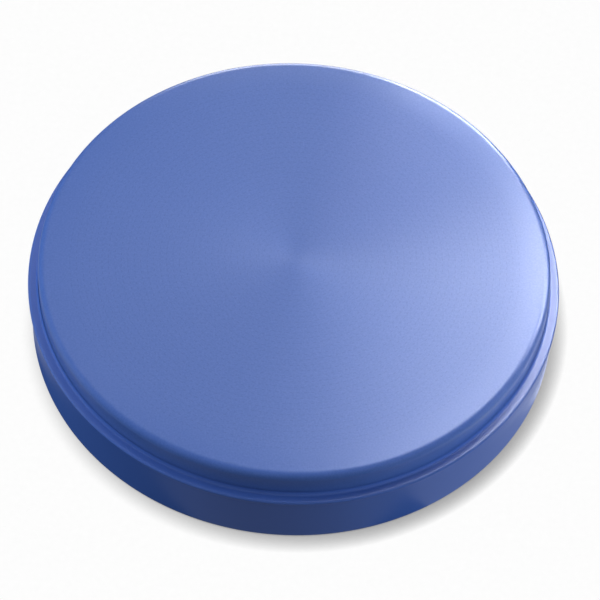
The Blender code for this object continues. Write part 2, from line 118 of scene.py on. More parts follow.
def turnedPiece(name, corners, segments=192, closed=True, steps=6):
    # a solid of revolution about Z from a softened outline that runs down its outer side
    shape = bmesh.new()
    rings = []
    for point in softProfile(corners, closed, steps):
        around = segments if point.x > 1e-7 else 1
        rings.append([shape.verts.new((point.x * math.cos(math.tau * k / segments),
                                       point.x * math.sin(math.tau * k / segments), point.y))
                      for k in range(around)])
    pairs = list(zip(rings, rings[1:])) + ([(rings[-1], rings[0])] if closed else [])
    for upper, lower in pairs:
        for k in range(segments):
            loop = [upper[k % len(upper)], lower[k % len(lower)],
                    lower[(k + 1) % len(lower)], upper[(k + 1) % len(upper)]]
            shape.faces.new(list(dict.fromkeys(loop)))
    bmesh.ops.recalc_face_normals(shape, faces=shape.faces)
    return placed(name, meshFrom(shape, name))


def meshFrom(shape, name):
    mesh = bpy.data.meshes.new(name)
    shape.to_mesh(mesh)
    shape.free()
    return mesh


def quarterCurve(radius, height, wide, high, steps):
    # corner points of a quarter ellipse that starts at (radius, height) and rises outwards or inwards
    turns = [math.pi / 2 * step / steps for step in range(steps + 1)]
    return [(radius + wide * (1 - math.cos(turn)), height + high * (1 - math.sin(turn)), 0) for turn in turns]


def placed(name, mesh):
    mesh.shade_smooth()
    mesh.set_sharp_from_angle(angle=math.radians(35))
    piece = bpy.data.objects.new(name, mesh)
    bpy.context.scene.collection.objects.link(piece)
    return piece


def boxPiece(name, low, high, rounding=0.0, segments=3):
    shape = bmesh.new()
    size = Vector(high) - Vector(low)
    middle = (Vector(high) + Vector(low)) / 2
    bmesh.ops.create_cube(shape, size=1.0, matrix=Matrix.Translation(middle) @ Matrix.Diagonal((*size, 1.0)))
    if rounding:
        bmesh.ops.bevel(shape, geom=list(shape.edges), offset=rounding, segments=segments, profile=0.5,
                        affect="EDGES")
    return placed(name, meshFrom(shape, name))


def rodPiece(name, radius, low, high, segments):
    return turnedPiece(name, [(0, high, 0), (radius, high, 0), (radius, low, 0), (0, low, 0)],
                       segments, closed=False)


def prismPiece(name, corner, low, high, turn=0.0):
    # a six-sided prism, given by the radius of its corners
    shape = bmesh.new()
    seat = Matrix.Translation((0, 0, (low + high) / 2)) @ Matrix.Rotation(turn, 4, "Z")
    bmesh.ops.create_cone(shape, cap_ends=True, segments=6, radius1=corner, radius2=corner, depth=high - low,
                          matrix=seat)
    return placed(name, meshFrom(shape, name))


def roundOff(piece, rounding):
    # rounds the two upper edges that run along Y
    shape = bmesh.new()
    shape.from_mesh(piece.data)
    high = max(vertex.co.z for vertex in shape.verts)
    edges = [edge for edge in shape.edges if all(vertex.co.z > high - mm for vertex in edge.verts)
             and abs(edge.verts[0].co.y - edge.verts[1].co.y) > mm]
    bmesh.ops.bevel(shape, geom=edges, offset=rounding, segments=10, profile=0.5, affect="EDGES")
    shape.to_mesh(piece.data)
    shape.free()


def plainCopy(piece):
    # the piece as its modifiers leave it, as a plain mesh object of the same name
    bpy.context.view_layer.update()
    name = piece.name
    mesh = bpy.data.meshes.new_from_object(piece.evaluated_get(bpy.context.evaluated_depsgraph_get()))
    bpy.data.objects.remove(piece)
    return placed(name, mesh)


def roundTree():
    # Geometry Nodes: copies of the blank evenly round a circle about Z, each facing outwards
    tree = bpy.data.node_groups.new("repeatRound", "GeometryNodeTree")
    sockets = {}
    for name, kind in (("Blank", "NodeSocketGeometry"), ("Count", "NodeSocketInt"),
                       ("Circle", "NodeSocketFloat"), ("Turn", "NodeSocketFloat"),
                       ("Finish", "NodeSocketMaterial")):
        sockets[name] = tree.interface.new_socket(name=name, in_out="INPUT", socket_type=kind).identifier
    tree.interface.new_socket(name="Result", in_out="OUTPUT", socket_type="NodeSocketGeometry")
    given = addNode(tree, "NodeGroupInput").outputs
    points = addNode(tree, "GeometryNodeMeshCircle", {"Vertices": given["Count"],
                                                      "Radius": given["Circle"]})
    step = addNode(tree, "ShaderNodeMath", {0: math.tau, 1: given["Count"]}, operation="DIVIDE")
    angle = addNode(tree, "ShaderNodeMath", {0: addNode(tree, "GeometryNodeInputIndex").outputs[0],
                                             1: step.outputs[0]}, operation="MULTIPLY")
    facing = addNode(tree, "ShaderNodeCombineXYZ", {"Z": angle.outputs[0]})
    copies = addNode(tree, "GeometryNodeInstanceOnPoints", {
        "Points": points.outputs[0], "Instance": given["Blank"], "Rotation": facing.outputs[0]})
    whole = addNode(tree, "ShaderNodeCombineXYZ", {"Z": given["Turn"]})
    turned = addNode(tree, "GeometryNodeTransform", {"Geometry": copies.outputs[0],
                                                     "Rotation": whole.outputs[0]})
    real = addNode(tree, "GeometryNodeRealizeInstances", {0: turned.outputs[0]})
    dressed = addNode(tree, "GeometryNodeSetMaterial", {"Geometry": real.outputs[0],
                                                        "Material": given["Finish"]})
    addNode(tree, "NodeGroupOutput", {0: dressed.outputs[0]})
    return tree, sockets


repeatRound, roundSocket = roundTree()


def repeated(blank, count, circle=0.0, turn=0.0, finish=None):
    # the blank stands on the Z axis; its copies come back as one plain mesh
    modifier = blank.modifiers.new("repeatRound", "NODES")
    modifier.node_group = repeatRound
    for name, value in (("Count", count), ("Circle", circle), ("Turn", turn), ("Finish", finish)):
        modifier[roundSocket[name]] = value
    return plainCopy(blank)


def combine(piece, tools, operation):
    # tools are used up
    for tool in tools:
        boolean = piece.modifiers.new("join", "BOOLEAN")
        boolean.object = tool
        boolean.operation = operation
        boolean.solver = "EXACT"
    result = plainCopy(piece)
    for tool in tools:
        bpy.data.objects.remove(tool)
    return result


def moved(piece, matrix):
    piece.data.transform(matrix)
    return piece


def finished(piece, material, body, slot, *nodes):
    # give the piece its material and its body, and hide the nodes it stands for
    piece.data.materials.clear()
    piece.data.materials.append(material)
    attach(piece, body)
    if nodes:
        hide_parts(*nodes)
    return piece


def top(node):
    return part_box(node)[1][2]


def bottom(node):
    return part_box(node)[0][2]


def reach(node):
    # outer radius of a turned node
    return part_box(node)[1][0]


def middle(node):
    low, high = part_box(node)
    return (Vector(low) + Vector(high)) / 2


# ---- materials

def siliconeRubber():
    # silicone rubber pressed in a turned mould: satin, with a sheen that fans out from the middle,
    # a fine mottle, and rings of short slits that are closed and hardly show while no air comes
    look = {"blue": "#4F72C4", "blueDeep": "#3F66B8", "slitBlue": "#3D62B2",
            "mottle": 0.7 * mm, "grain": 0.35 * mm, "cloud": 45 * mm, "turningMark": 0.8 * mm,
            "bump": 0.03 * mm, "ringStep": 2.4 * mm, "slitWide": 0.22 * mm, "slitStep": 2.6 * mm,
            "slitShare": 0.4, "slitsStop": (84 * mm, 85 * mm)}
    material, tree, shader = newMaterial("siliconeRubber", {
        "Roughness": 0.33, "IOR": 1.48, "Anisotropic": 0.5, "Anisotropic Rotation": 0.25})
    coords = addNode(tree, "ShaderNodeTexCoord").outputs["Object"]
    cloud = addNode(tree, "ShaderNodeTexNoise", {"Vector": coords, "Scale": 1 / look["cloud"], "Detail": 2.0})
    mottle = addNode(tree, "ShaderNodeTexNoise", {"Vector": coords, "Scale": 1 / look["mottle"],
                                                  "Detail": 3.0})
    grain = addNode(tree, "ShaderNodeTexNoise", {"Vector": coords, "Scale": 1 / look["grain"], "Detail": 3.0})
    spread = addNode(tree, "ShaderNodeMapRange", {"Value": mottle.outputs["Fac"],
                                                  "From Min": 0.3, "From Max": 0.7})
    blend = addNode(tree, "ShaderNodeMix", {"Factor": 0.75, 2: cloud.outputs["Fac"], 3: spread.outputs[0]})
    colour = addNode(tree, "ShaderNodeMix", {"Factor": blend.outputs[0], 6: linear(look["blueDeep"]),
                                             7: linear(look["blue"])}, data_type="RGBA")

    # slits: dashes along rings, counted outwards in whole rings
    place = addNode(tree, "ShaderNodeSeparateXYZ", {0: coords})
    flat = addNode(tree, "ShaderNodeCombineXYZ", {"X": place.outputs["X"], "Y": place.outputs["Y"]})
    radius = addNode(tree, "ShaderNodeVectorMath", {0: flat.outputs[0]}, operation="LENGTH").outputs["Value"]
    rings = addNode(tree, "ShaderNodeMath", {0: radius, 1: look["ringStep"]}, operation="DIVIDE").outputs[0]
    ring = addNode(tree, "ShaderNodeMath", {0: rings}, operation="ROUND").outputs[0]
    offRing = addNode(tree, "ShaderNodeMath", {0: rings, 1: ring}, operation="SUBTRACT")
    away = addNode(tree, "ShaderNodeMath", {0: offRing.outputs[0]}, operation="ABSOLUTE")
    halfSlit = look["slitWide"] / 2 / look["ringStep"]
    inLine = addNode(tree, "ShaderNodeMath", {0: away.outputs[0], 1: halfSlit}, operation="LESS_THAN")
    angle = addNode(tree, "ShaderNodeMath", {0: place.outputs["Y"], 1: place.outputs["X"]},
                    operation="ARCTAN2")
    turns = addNode(tree, "ShaderNodeMath", {0: angle.outputs[0], 1: math.tau}, operation="DIVIDE")
    perRing = addNode(tree, "ShaderNodeMath", {0: ring, 1: math.tau * look["ringStep"] / look["slitStep"]},
                      operation="MULTIPLY")
    whole = addNode(tree, "ShaderNodeMath", {0: perRing.outputs[0]}, operation="ROUND")
    dashes = addNode(tree, "ShaderNodeMath", {0: turns.outputs[0], 1: whole.outputs[0]}, operation="MULTIPLY")
    dash = addNode(tree, "ShaderNodeMath", {0: dashes.outputs[0], 1: 1.0}, operation="FLOORED_MODULO")
    inDash = addNode(tree, "ShaderNodeMath", {0: dash.outputs[0], 1: look["slitShare"]},
                     operation="LESS_THAN")
    slit = addNode(tree, "ShaderNodeMath", {0: inLine.outputs[0], 1: inDash.outputs[0]}, operation="MULTIPLY")
    stopFrom, stopAt = look["slitsStop"]
    rimFree = addNode(tree, "ShaderNodeMapRange", {"Value": radius, "From Min": stopFrom,
                                                   "From Max": stopAt, "To Min": 1.0, "To Max": 0.0})
    slits = addNode(tree, "ShaderNodeMath", {0: slit.outputs[0], 1: rimFree.outputs[0]}, operation="MULTIPLY")
    slitted = addNode(tree, "ShaderNodeMix", {"Factor": slits.outputs[0], 6: colour.outputs[2],
                                              7: linear(look["slitBlue"])}, data_type="RGBA")
    tree.links.new(slitted.outputs[2], shader.inputs["Base Color"])

    tangent = addNode(tree, "ShaderNodeTangent", direction_type="RADIAL", axis="Z")
    tree.links.new(tangent.outputs[0], shader.inputs["Tangent"])
    markScale = math.tau / 20 / look["turningMark"]  # a wave texture runs 20 radians to one unit
    marks = addNode(tree, "ShaderNodeTexWave", {"Vector": coords, "Scale": markScale, "Distortion": 0.6,
                                                "Detail": 2.0}, wave_type="RINGS", rings_direction="Z")
    height = addNode(tree, "ShaderNodeMix", {"Factor": 0.2, 2: grain.outputs["Fac"], 3: marks.outputs["Fac"]})
    bump = addNode(tree, "ShaderNodeBump", {"Height": height.outputs[0], "Strength": 0.4,
                                            "Distance": look["bump"]})
    tree.links.new(bump.outputs[0], shader.inputs["Normal"])
    return material


def mouldedPlastic(name, light, dark, roughness, ior, grainSize):
    # injection-moulded plastic with a fine spark-eroded grain: a soft, even satin
    material, tree, shader = newMaterial(name, {"IOR": ior})
    coords = addNode(tree, "ShaderNodeTexCoord").outputs["Object"]
    flow = addNode(tree, "ShaderNodeTexNoise", {"Vector": coords, "Scale": 1 / (30 * mm), "Detail": 3.0})
    grain = addNode(tree, "ShaderNodeTexNoise", {"Vector": coords, "Scale": 1 / grainSize, "Detail": 4.0})
    colour = addNode(tree, "ShaderNodeMix", {"Factor": flow.outputs["Fac"], 6: linear(dark),
                                             7: linear(light)}, data_type="RGBA")
    tree.links.new(colour.outputs[2], shader.inputs["Base Color"])
    shine = addNode(tree, "ShaderNodeMapRange", {"Value": grain.outputs["Fac"], "To Min": roughness - 0.05,
                                                 "To Max": roughness + 0.05})
    tree.links.new(shine.outputs[0], shader.inputs["Roughness"])
    bump = addNode(tree, "ShaderNodeBump", {"Height": grain.outputs["Fac"], "Strength": 0.3,
                                            "Distance": 0.02 * mm})
    tree.links.new(bump.outputs[0], shader.inputs["Normal"])
    return material


def turnedSteel():
    # A2 stainless steel, cold headed and tumbled: bright, with fine dull patches that break up reflections
    material, tree, shader = newMaterial("stainlessSteel", {"Metallic": 1.0})
    coords = addNode(tree, "ShaderNodeTexCoord").outputs["Object"]
    tumble = addNode(tree, "ShaderNodeTexNoise", {"Vector": coords, "Scale": 1 / (0.4 * mm), "Detail": 3.0})
    colour = addNode(tree, "ShaderNodeMix", {"Factor": tumble.outputs["Fac"], 6: linear("#B9BABC"),
                                             7: linear("#CBCCCD")}, data_type="RGBA")
    tree.links.new(colour.outputs[2], shader.inputs["Base Color"])
    shine = addNode(tree, "ShaderNodeMapRange", {"Value": tumble.outputs["Fac"],
                                                 "To Min": 0.22, "To Max": 0.38})
    tree.links.new(shine.outputs[0], shader.inputs["Roughness"])
    bump = addNode(tree, "ShaderNodeBump", {"Height": tumble.outputs["Fac"], "Strength": 0.2,
                                            "Distance": 0.01 * mm})
    tree.links.new(bump.outputs[0], shader.inputs["Normal"])
    return material


def castIron():
    # sand-cast grey iron under black epoxy: a coarse orange-peel skin with a low gloss
    material, tree, shader = newMaterial("coatedIron", {"IOR": 1.53})
    coords = addNode(tree, "ShaderNodeTexCoord").outputs["Object"]
    sand = addNode(tree, "ShaderNodeTexNoise", {"Vector": coords, "Scale": 1 / (0.9 * mm), "Detail": 5.0})
    pits = addNode(tree, "ShaderNodeTexVoronoi", {"Vector": coords, "Scale": 1 / (2.5 * mm)})
    colour = addNode(tree, "ShaderNodeMix", {"Factor": sand.outputs["Fac"], 6: linear("#222325"),
                                             7: linear("#313235")}, data_type="RGBA")
    tree.links.new(colour.outputs[2], shader.inputs["Base Color"])
    shine = addNode(tree, "ShaderNodeMapRange", {"Value": sand.outputs["Fac"],
                                                 "To Min": 0.45, "To Max": 0.65})
    tree.links.new(shine.outputs[0], shader.inputs["Roughness"])
    height = addNode(tree, "ShaderNodeMix", {"Factor": 0.4, 2: sand.outputs["Fac"],
                                             3: pits.outputs["Distance"]})
    bump = addNode(tree, "ShaderNodeBump", {"Height": height.outputs[0], "Strength": 0.6,
                                            "Distance": 0.15 * mm})
    tree.links.new(bump.outputs[0], shader.inputs["Normal"])
    return material


silicone = siliconeRubber()
blueAbs = mouldedPlastic("blueAbs", "#456AC0", "#4066BB", 0.36, 1.53, 0.3 * mm)
greyPolypropylene = mouldedPlastic("greyPolypropylene", "#3B3E44", "#33363B", 0.48, 1.49, 0.4 * mm)
epdmRubber = mouldedPlastic("epdmRubber", "#1D1D1F", "#161617", 0.72, 1.52, 0.5 * mm)
stainlessSteel = turnedSteel()
coatedIron = castIron()
print("materials made")


# ---- outside: membrane, clamp ring and base shell

membraneSize = {"thickness": 2.0 * mm, "shoulder": 2.8 * mm, "beadWidth": 3.0 * mm, "beadDepth": 1.5 * mm,
                "hemWidth": 7.7 * mm, "fallFrom": 86 * mm, "fall": 0.5 * mm, "fallRounding": 200 * mm}


def makeMembrane():
    high, low, wall = top("membrane"), bottom("membrane"), reach("membrane")
    thick = membraneSize["thickness"]
    hemIn = wall - membraneSize["hemWidth"]
    hemLow = low + membraneSize["beadDepth"]
    beadOut = hemIn + membraneSize["beadWidth"]
    shoulder = membraneSize["shoulder"]
    corners = [(0.0, high, 0), (membraneSize["fallFrom"], high, membraneSize["fallRounding"]),
               (wall, high - membraneSize["fall"], shoulder), (wall, hemLow, 0.5 * mm),
               (beadOut, hemLow, 0.2 * mm), (beadOut, low, 0.6 * mm), (hemIn, low, 0.6 * mm),
               (hemIn, hemLow + thick, 0.3 * mm),
               (wall - thick, hemLow + thick, 0.3 * mm), (wall - thick, high - thick, shoulder - thick),
               (0.0, high - thick, 0)]
    piece = turnedPiece("membraneSkin", corners, segments=256, closed=False, steps=8)
    return finished(piece, silicone, "base", "membrane", "membrane")


clampRing = {"beadGap": 0.3 * mm, "lipRounding": 0.8 * mm, "filletWide": 0.9 * mm, "filletHigh": 1.8 * mm,
             "wallGap": 0.15 * mm, "legSetBack": 0.3 * mm}


def makeClampRing():
    size = clampRing
    high, low, lip = top("clamp_ring"), bottom("clamp_ring"), reach("clamp_ring")
    inner = reach("membrane") - membraneSize["hemWidth"] + membraneSize["beadWidth"] + size["beadGap"]
    legOut = reach("base_shell") - baseShell["wall"] - size["legSetBack"]
    lipLow = top("base_shell") + gap
    wall = reach("membrane") + size["wallGap"]
    fillet = quarterCurve(wall, high, size["filletWide"], size["filletHigh"], 8)
    corners = [(inner, high, 0.1 * mm), (wall, high, 0), *fillet, (lip, high, size["lipRounding"]),
               (lip, lipLow, 0.6 * mm), (legOut, lipLow, 0.1 * mm), (legOut, low, 0.3 * mm),
               (inner, low, 0.3 * mm)]
    piece = turnedPiece("clampRing", corners, segments=256)
    return finished(piece, blueAbs, "base", "shell_plastic", "clamp_ring")


baseShell = {"wall": 2.5 * mm, "deck": 2.6 * mm, "toeWide": 1.2 * mm, "toeHigh": 1.2 * mm, "sink": 0.6 * mm,
             "ribs": 12, "ribWidth": 1.6 * mm, "ribDepth": 2.7 * mm, "ringRibs": (18.5 * mm, 57 * mm),
             "guardOuter": 5.8 * mm, "guardInner": 4.4 * mm, "screwHole": 2.3 * mm,
             "pillar": 6.5 * mm, "pillarDrop": 5.7 * mm, "footSocket": 3.3 * mm,
             "notchHalf": 9.0 * mm, "notchTop": 16.0 * mm, "notchRounding": 6.5 * mm}
deckHigh = bottom("clamp_ring") - gap
deckLow = deckHigh - baseShell["deck"]
hub = 9.6 * mm
screwCircle = middle("plate_screw_1").x
footCircle = math.hypot(*middle("foot_1").xy)


def makeBaseShell():
    size = baseShell
    high, low, skirt = top("base_shell"), bottom("base_shell"), reach("base_shell")
    inner = skirt - size["wall"]
    toe = quarterCurve(skirt, low, -size["toeWide"], size["toeHigh"], 9)
    corners = [(skirt, high, 0.4 * mm), *toe, (inner, low, 0.2 * mm),
               (inner, deckLow, 1.0 * mm), (hub, deckLow, 0.3 * mm), (hub, deckHigh, 0.3 * mm),
               (inner, deckHigh, 0.4 * mm), (inner, high, 0.3 * mm)]
    shell = turnedPiece("baseShell", corners, segments=240)

    # stiffening ribs, foot pillars and screw guards under the deck
    sunk = deckLow + size["sink"]
    ribLow = deckLow - size["ribDepth"]
    rib = boxPiece("rib", (size["ringRibs"][0], -size["ribWidth"] / 2, ribLow),
                   (inner + size["sink"], size["ribWidth"] / 2, sunk), 0.35 * mm, 2)
    added = [repeated(rib, size["ribs"], 0.0, math.pi / size["ribs"])]
    for index, radius in enumerate(size["ringRibs"]):
        added.append(turnedPiece(f"ringRib{index}", [
            (radius + size["ribWidth"] / 2, sunk, 0), (radius + size["ribWidth"] / 2, ribLow, 0.4 * mm),
            (radius - size["ribWidth"] / 2, ribLow, 0.4 * mm), (radius - size["ribWidth"] / 2, sunk, 0)],
            segments=120, steps=2))
    guard = turnedPiece("screwGuard", [
        (size["guardOuter"], sunk, 0), (size["guardOuter"], ribLow, 0.4 * mm),
        (size["guardInner"], ribLow, 0.3 * mm), (size["guardInner"], sunk, 0)], segments=40, steps=2)
    added.append(repeated(guard, 6, screwCircle))
    pillarLow = top("foot_1") - size["pillarDrop"]
    pillar = turnedPiece("footPillar", [
        (0, sunk, 0), (size["pillar"], sunk, 0), (size["pillar"], pillarLow, 0.5 * mm), (0, pillarLow, 0)],
        segments=48, closed=False, steps=3)
    added.append(repeated(pillar, 4, footCircle, math.pi / 4))
    shell = combine(shell, added, "UNION")

    socket = rodPiece("footSocket", size["footSocket"], pillarLow - mm, top("foot_1") + gap, 32)
    hole = rodPiece("screwHole", size["screwHole"], deckLow - 0.4 * mm, deckHigh + mm, 24)
    well = rodPiece("guardWell", size["guardInner"] - 0.02 * mm, ribLow - mm, deckLow, 40)
    cuts = [repeated(socket, 4, footCircle, math.pi / 4), repeated(hole, 6, screwCircle),
            repeated(well, 6, screwCircle)]
    notch = boxPiece("hoseNotch", (-size["notchHalf"], inner - 10 * mm, -mm),
                     (size["notchHalf"], skirt + 4 * mm, size["notchTop"]))
    roundOff(notch, size["notchRounding"])
    shell = combine(shell, cuts + [notch], "DIFFERENCE")
    return finished(shell, blueAbs, "base", "shell_plastic", "base_shell")


makeMembrane()
makeClampRing()
makeBaseShell()
print("outside made")


# ---- underneath: feet, screws, nut and elbow

footSize = {"pad": 2.1 * mm, "plug": 3.0 * mm, "groove": 0.5 * mm, "rounding": 0.6 * mm}


def makeFeet():
    size = footSize
    high, low = top("foot_1"), bottom("foot_1")
    radius = (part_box("foot_1")[1][0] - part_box("foot_1")[0][0]) / 2
    ring = [(radius * share, low + depth, 0) for share, depth in
            ((0.74, 0), (0.70, size["groove"]), (0.58, size["groove"]), (0.54, 0), (0.30, 0),
             (0.26, size["groove"]), (0.0, size["groove"]))]
    corners = [(0, high, 0), (size["plug"], high, 0.5 * mm), (size["plug"], low + size["pad"], 0.2 * mm),
               (radius, low + size["pad"], 0.3 * mm), (radius, low, size["rounding"]), *ring]
    foot = turnedPiece("rubberFeet", corners, segments=48, closed=False, steps=4)
    feet = repeated(foot, 4, footCircle, math.pi / 4, epdmRubber)
    return finished(feet, epdmRubber, "base", "seal_rubber", *[f"foot_{k}" for k in range(1, 5)])


screwSize = {"head": 3.8 * mm, "headHeight": 2.4 * mm, "shank": 2.0 * mm, "pitch": 0.7 * mm,
             "threadDepth": 0.25 * mm, "recess": 1.7 * mm, "recessDepth": 1.4 * mm, "knurls": 36}


def makeScrews():
    size = screwSize
    high, low = top("plate_screw_1"), bottom("plate_screw_1")
    under = low + size["headHeight"]
    thread = []
    height = high - 0.4 * mm
    while height > under + 4.0 * mm:
        thread += [(size["shank"], height, 0),
                   (size["shank"] - size["threadDepth"], height - size["pitch"] / 2, 0)]
        height -= size["pitch"]
    corners = [(0, high, 0), (size["shank"] - 0.4 * mm, high, 0), *thread, (size["shank"], height, 0),
               (size["shank"], under, 0.15 * mm), (size["head"], under, 0.15 * mm),
               (size["head"], under - 0.5 * mm, 0), (size["head"] - 0.01 * mm, low + 0.8 * mm, 0),
               (size["head"] - 0.01 * mm, low, 0.5 * mm), (0, low, 0)]
    screw = turnedPiece("plateScrews", corners, segments=2 * size["knurls"], closed=False, steps=3)
    for vertex in screw.data.vertices:  # knurled band round the head
        radius = math.hypot(*vertex.co.xy)
        inBand = under - 0.55 * mm > vertex.co.z > low + 0.6 * mm
        step = round(math.atan2(vertex.co.y, vertex.co.x) / math.pi * size["knurls"])
        if radius > size["head"] - 0.05 * mm and inBand and step % 2:
            vertex.co.xy *= 1 - 0.12 * mm / radius
    recess = prismPiece("hexRecess", size["recess"], low - mm, low + size["recessDepth"])
    screw = combine(screw, [recess], "DIFFERENCE")
    screws = repeated(screw, 6, screwCircle, 0.0, stainlessSteel)
    nodes = [f"plate_screw_{k}" for k in range(1, 7)]
    return finished(screws, stainlessSteel, "base", "screw_steel", *nodes)


def makeNut():
    high, low = top("swivel_nut"), bottom("swivel_nut")
    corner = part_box("swivel_nut")[1][1]
    flat = corner * math.cos(math.pi / 6)
    nut = prismPiece("swivelNut", corner, low, high, math.pi / 2)
    bevel = nut.modifiers.new("edges", "BEVEL")
    bevel.width, bevel.segments, bevel.limit_method = 0.4 * mm, 3, "ANGLE"
    nut = plainCopy(nut)
    dome = turnedPiece("nutDome", [(0, high, 0), (flat, high, 0), (corner + 0.2 * mm, high - 1.2 * mm, 0),
                                   (corner + 0.2 * mm, low + 1.2 * mm, 0), (flat, low, 0), (0, low, 0)],
                       segments=96, closed=False)
    nut = combine(nut, [dome], "INTERSECT")
    lip = low + 1.3 * mm
    bore = turnedPiece("nutBore", [(0, high + mm, 0), (hub, high + mm, 0), (hub, lip, 0), (6.8 * mm, lip, 0),
                                   (6.8 * mm, low - mm, 0), (0, low - mm, 0)], segments=96, closed=False)
    nut = combine(nut, [bore], "DIFFERENCE")
    return finished(nut, greyPolypropylene, "base", "inner_plastic", "swivel_nut")


elbowSize = {"stem": 6.5 * mm, "arm": 5.3 * mm, "barb": 4.3 * mm, "ridge": 0.8 * mm, "bore": 3.1 * mm,
             "pitch": 5.5 * mm, "slope": 3.3 * mm, "tip": 2.0 * mm, "armLength": 17.0 * mm, "axis": 7.0 * mm,
             "collarLow": 14.4 * mm, "collarHigh": 15.6 * mm, "collar": 9.1 * mm, "groove": 1.6 * mm,
             "grooveFloor": 5.3 * mm}


def makeElbow():
    size = elbowSize
    high, low = top("inlet_elbow"), bottom("inlet_elbow")
    stem = size["stem"]
    grooves = []
    for ring in ("elbow_o_ring_2", "elbow_o_ring_1"):
        above, below = middle(ring).z + size["groove"] / 2, middle(ring).z - size["groove"] / 2
        grooves += [(stem, above, 0.1 * mm), (size["grooveFloor"], above, 0.1 * mm),
                    (size["grooveFloor"], below, 0.1 * mm), (stem, below, 0.1 * mm)]
    body = turnedPiece("inletElbow", [
        (0, high, 0), (stem, high, 0.4 * mm), *grooves, (stem, size["collarHigh"], 0.2 * mm),
        (size["collar"], size["collarHigh"], 0.3 * mm), (size["collar"], size["collarLow"], 0.3 * mm),
        (stem, size["collarLow"], 0.2 * mm), (stem, low, 2.2 * mm), (0, low, 0)],
        segments=96, closed=False, steps=8)
    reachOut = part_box("inlet_elbow")[1][1]
    barbs = [(0, reachOut, 0), (size["barb"], reachOut, 0.5 * mm)]
    for index in range(3):
        start = reachOut - size["tip"] - index * size["pitch"]
        crest = start - size["slope"]
        barbs += [(size["barb"], start, 0), (size["barb"] + size["ridge"], crest, 0.15 * mm),
                  (size["barb"], crest - 0.3 * mm, 0)]
    arm = turnedPiece("elbowArm", [*barbs, (size["barb"], size["armLength"], 0.5 * mm),
                                   (size["arm"], size["armLength"], 0.8 * mm), (size["arm"], 0, 0),
                                   (0, 0, 0)], segments=72, closed=False, steps=5)
    lying = rodPiece("lyingBore", size["bore"], 0, reachOut + mm, 48)
    layDown = Matrix.Translation((0, 0, size["axis"])) @ Matrix.Rotation(-math.pi / 2, 4, "X")
    boreLow = size["axis"] - size["bore"] - 0.2 * mm
    upright = rodPiece("uprightBore", size["bore"] + 0.3 * mm, boreLow, high + mm, 48)
    body = combine(body, [moved(arm, layDown)], "UNION")
    body = combine(body, [upright, moved(lying, layDown)], "DIFFERENCE")
    return finished(body, greyPolypropylene, "elbow", "inner_plastic", "inlet_elbow")


def makeRing(name, node, body, section=0.5 * mm):
    # a rubber O-ring in its groove
    radius, height = reach(node) - section, middle(node).z
    circle = [(radius + section * math.cos(angle), height + section * math.sin(angle), 0)
              for angle in [-math.tau * step / 16 for step in range(16)]]
    return finished(turnedPiece(name, circle, segments=96), epdmRubber, body, "seal_rubber", node)


makeFeet()
makeScrews()
makeNut()
makeElbow()
makeRing("elbowRingLower", "elbow_o_ring_1", "elbow")
makeRing("elbowRingUpper", "elbow_o_ring_2", "elbow")
makeRing("outletRing", "outlet_o_ring", "base")
print("underside made")


springSize = {"wire": 0.25 * mm, "turns": 3, "endTurn": 0.6, "stepsPerTurn": 40, "sides": 10}


def makeSpring():
    # a coil of round wire with its end turns laid flat
    size = springSize
    high, low, wire = top("valve_spring"), bottom("valve_spring"), size["wire"]
    coil = reach("valve_spring") - wire
    shape = bmesh.new()
    rings = []
    total = size["turns"] * size["stepsPerTurn"]
    for step in range(total + 1):
        turn = step / size["stepsPerTurn"]
        climb = (turn - size["endTurn"]) / (size["turns"] - 2 * size["endTurn"])
        height = low + wire + (high - low - 2 * wire) * min(max(climb, 0.0), 1.0)
        out = Vector((math.cos(math.tau * turn), math.sin(math.tau * turn), 0))
        ring = []
        for side in range(size["sides"]):
            angle = math.tau * side / size["sides"]
            lifted = Vector((0, 0, height + wire * math.sin(angle)))
            ring.append(shape.verts.new(out * (coil + wire * math.cos(angle)) + lifted))
        rings.append(ring)
    for first, second in zip(rings, rings[1:]):
        for side in range(size["sides"]):
            following = (side + 1) % size["sides"]
            shape.faces.new((first[side], first[following], second[following], second[side]))
    shape.faces.new(rings[0])
    shape.faces.new(rings[-1])
    bmesh.ops.recalc_face_normals(shape, faces=shape.faces)
    mesh = meshFrom(shape, "valveSpring")
    spring = finished(placed("valveSpring", mesh), stainlessSteel, "base", "screw_steel", "valve_spring")
    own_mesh(spring)


makeSpring()

for name, material in {"support_plate": greyPolypropylene, "ballast_ring": coatedIron,
                       "valve_body": greyPolypropylene, "valve_washer": epdmRubber,
                       "valve_poppet": greyPolypropylene, "poppet_seal": epdmRubber,
                       "valve_cage": greyPolypropylene}.items():
    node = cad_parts[name]
    node.data.materials.clear()
    node.data.materials.append(material)


# ---- stage, light and camera

